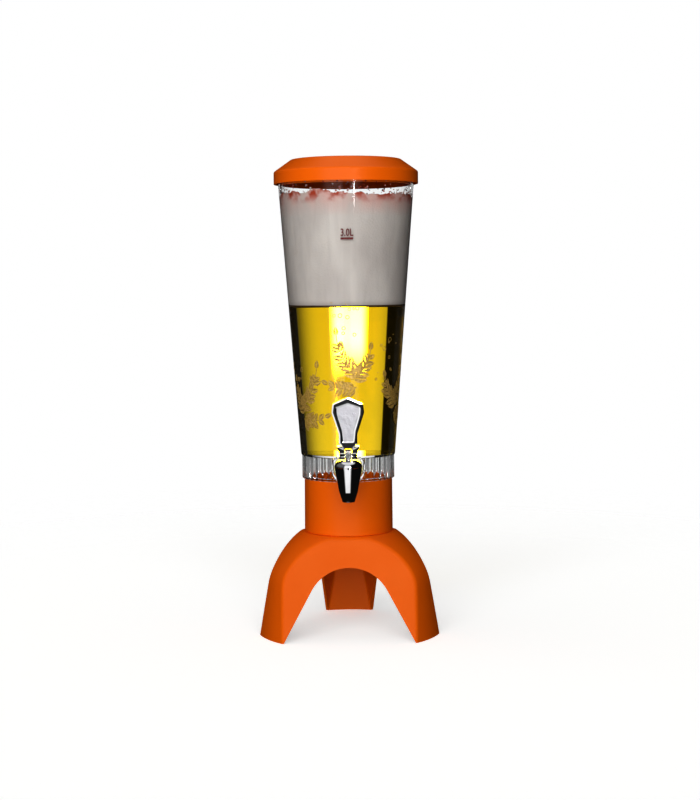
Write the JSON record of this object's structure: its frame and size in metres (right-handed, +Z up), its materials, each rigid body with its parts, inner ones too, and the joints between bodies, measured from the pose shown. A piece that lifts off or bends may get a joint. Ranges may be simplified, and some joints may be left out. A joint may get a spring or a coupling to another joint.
{
  "type": "beer tower dispenser",
  "caption": "Tabletop beer tower: tapered clear vessel with a bevelled lid on a tripod base, with a shield-lever tap that pours into a glass under the arch.",
  "frame": {"origin": "on the tower's axis at the floor", "axes": "+Z up the tower, the tap faces -Y"},
  "size_m": [0.2073, 0.2132, 0.5486],
  "materials": {
    "orange_plastic": "moulded ABS, glossy on the lid and satin on the base",
    "clear_plastic": "clear polycarbonate",
    "chrome": "polished chrome plate",
    "satin_metal": "satin plate",
    "steel": "stainless steel",
    "zinc_steel": "bright zinc",
    "silicone": "translucent food-grade silicone",
    "white_plastic": "white acetal"
  },
  "bodies": {
    "base": {"tripod_base": "orange_plastic", "neck_collar": "orange_plastic", "neck_screws": "zinc_steel"},
    "canister": {"canister": "clear_plastic", "grip_ring": "clear_plastic", "tap_body": "chrome", "outer_washer": "silicone", "inner_washer": "silicone", "lock_nut": "white_plastic", "bonnet": "chrome", "bonnet_ring": "silicone", "spring_washer": "steel", "valve_spring": "steel"},
    "valve": {"valve_stem": "steel", "seat_cup": "silicone", "lever_pin": "steel"},
    "lever": {"lever": "chrome", "lever_plate": "satin_metal"},
    "lid": {"lid": "orange_plastic"}
  },
  "joints": [
    {"name": "canister_lift", "type": "slide", "parent": "base", "child": "canister", "axis": [0, 0, 1], "range_m": [0, 0.06]},
    {"name": "lid_lift", "type": "slide", "parent": "canister", "child": "lid", "axis": [0, 0, 1], "range_m": [0, 0.05]},
    {"name": "valve_slide", "type": "slide", "parent": "canister", "child": "valve", "axis": [0, 0, 1], "range_m": [0, 0.004], "deforming": ["valve_spring"]},
    {"name": "lever_pull", "type": "hinge", "parent": "valve", "child": "lever", "pos_m": [0, -0.09, 0.2155], "axis": [1, 0, 0], "range_deg": [0, 90], "stiffness_Nm_per_rad": 0.05, "springref_deg": -20.05}
  ],
  "couplings": [
    {"joint": "valve_slide", "follows": "lever_pull", "m_per_rad": 0.002546}
  ]
}
